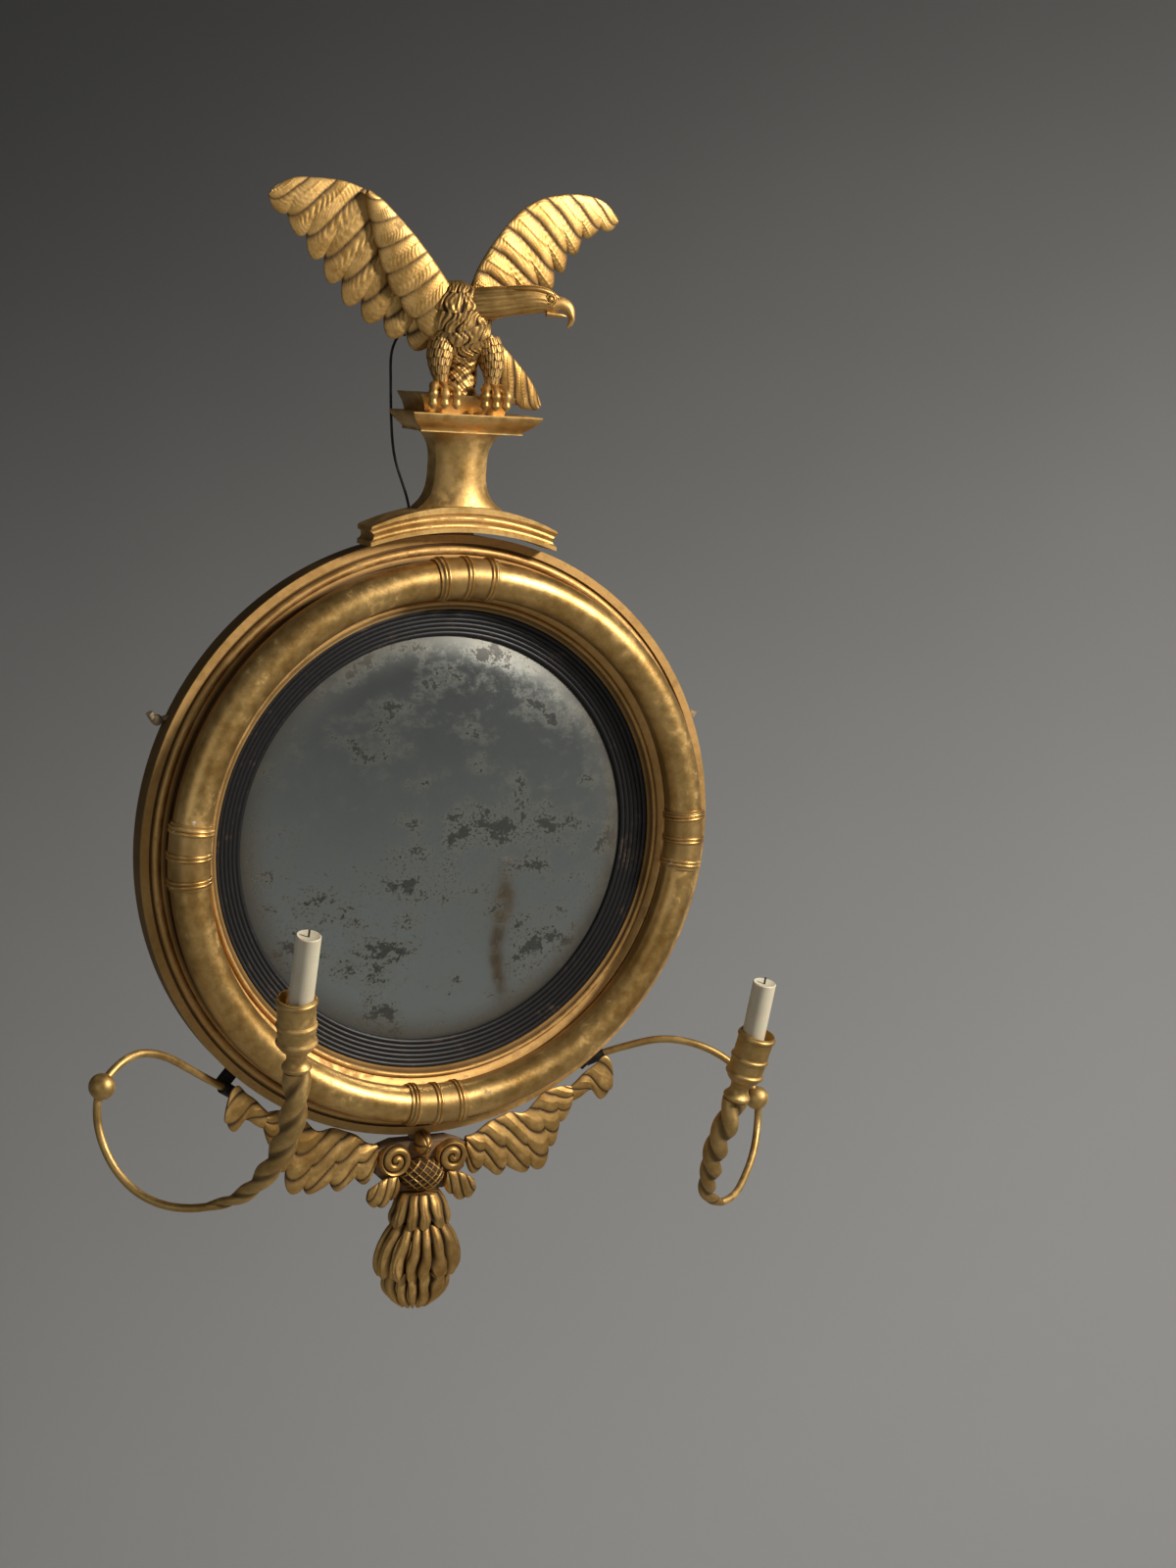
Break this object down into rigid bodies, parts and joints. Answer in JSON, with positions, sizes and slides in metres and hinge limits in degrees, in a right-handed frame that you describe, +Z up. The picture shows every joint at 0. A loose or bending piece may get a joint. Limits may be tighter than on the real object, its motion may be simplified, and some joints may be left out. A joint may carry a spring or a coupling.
{
  "type": "girandole mirror",
  "caption": "Round gilt girandole mirror with a convex plate, an eagle on a plinth above, a carved leafy apron below and curled twisted candle arms with cups and candles.",
  "frame": {"origin": "centre of the round frame's back face, on the wall plane", "axes": "+Z up, -Y out of the wall toward the viewer, +X to the viewer's right; +Y points into the wall"},
  "size_m": [0.7216, 0.2943, 1.1071],
  "materials": {
    "matt_gilding": "water-gilt carved pine, matt and worn",
    "burnished_gilding": "burnished water gilding over wood, worn at the edges",
    "arm_gilding": "gilt composition over iron wire",
    "black_slip": "ebonised, satin",
    "old_mirror": "convex silvered plate, foxed",
    "bare_wood": "old bare pine",
    "screw_steel": "dull",
    "black_iron": "black, dull",
    "wax": "ivory wax",
    "wick": "charred cotton",
    "rope": "jute cord"
  },
  "bodies": {
    "frame": {"apron_block": "bare_wood", "apron_boss": "matt_gilding", "apron_bud": "matt_gilding", "apron_left_leaf": "matt_gilding", "apron_left_small_leaf": "matt_gilding", "apron_left_tip_leaf": "matt_gilding", "apron_left_volute": "matt_gilding", "apron_lower_tassel": "matt_gilding", "apron_necking": "matt_gilding", "apron_right_leaf": "matt_gilding", "apron_right_small_leaf": "matt_gilding", "apron_right_tip_leaf": "matt_gilding", "apron_right_volute": "matt_gilding", "apron_tongue": "bare_wood", "apron_upper_tassel": "matt_gilding", "arm_ferrules": "black_iron", "backboard": "bare_wood", "backboard_screws": "screw_steel", "collar_bottom": "burnished_gilding", "collar_left": "burnished_gilding", "collar_right": "burnished_gilding", "collar_top": "burnished_gilding", "cup_spigots": "black_iron", "eagle_body": "matt_gilding", "eagle_head": "matt_gilding", "eagle_left_leg": "matt_gilding", "eagle_left_shoulder": "matt_gilding", "eagle_left_wing": "matt_gilding", "eagle_right_leg": "matt_gilding", "eagle_right_wing": "matt_gilding", "eagle_slab": "matt_gilding", "eagle_tail": "matt_gilding", "frame_rim": "matt_gilding", "glass_blocks": "bare_wood", "hanging_rope": "rope", "inner_moulding": "matt_gilding", "left_ball": "arm_gilding", "left_rod": "arm_gilding", "left_twist": "arm_gilding", "mirror_glass": "old_mirror", "plinth_base": "matt_gilding", "plinth_cap": "matt_gilding", "plinth_shaft": "matt_gilding", "plinth_tongue": "bare_wood", "reeded_slip": "black_slip", "right_ball": "arm_gilding", "right_rod": "arm_gilding", "right_twist": "arm_gilding", "rope_knot_left": "rope", "rope_knot_right": "rope", "stay_eyes": "black_iron", "stay_wire": "black_iron", "torus_moulding": "burnished_gilding"},
    "left_cup": {"left_cup": "burnished_gilding"},
    "right_cup": {"right_cup": "burnished_gilding"},
    "left_candle": {"left_candle": "wax", "left_wick": "wick"},
    "right_candle": {"right_candle": "wax", "right_wick": "wick"}
  },
  "joints": [
    {"name": "left_cup_turn", "type": "hinge", "parent": "frame", "child": "left_cup", "pos_m": [-0.22399, -0.25381, -0.14654], "axis": [-0.116, -0.1931, 0.9743], "continuous": true},
    {"name": "right_cup_turn", "type": "hinge", "parent": "frame", "child": "right_cup", "pos_m": [0.22401, -0.25384, -0.21005], "axis": [0.129, -0.215, 0.9681], "continuous": true},
    {"name": "left_candle_lift", "type": "slide", "parent": "left_cup", "child": "left_candle", "axis": [-0.0225, -0.2399, 0.9705], "range_m": [0, 0.045]},
    {"name": "right_candle_lift", "type": "slide", "parent": "right_cup", "child": "right_candle", "axis": [0.036, -0.17, 0.9848], "range_m": [0, 0.045]}
  ]
}
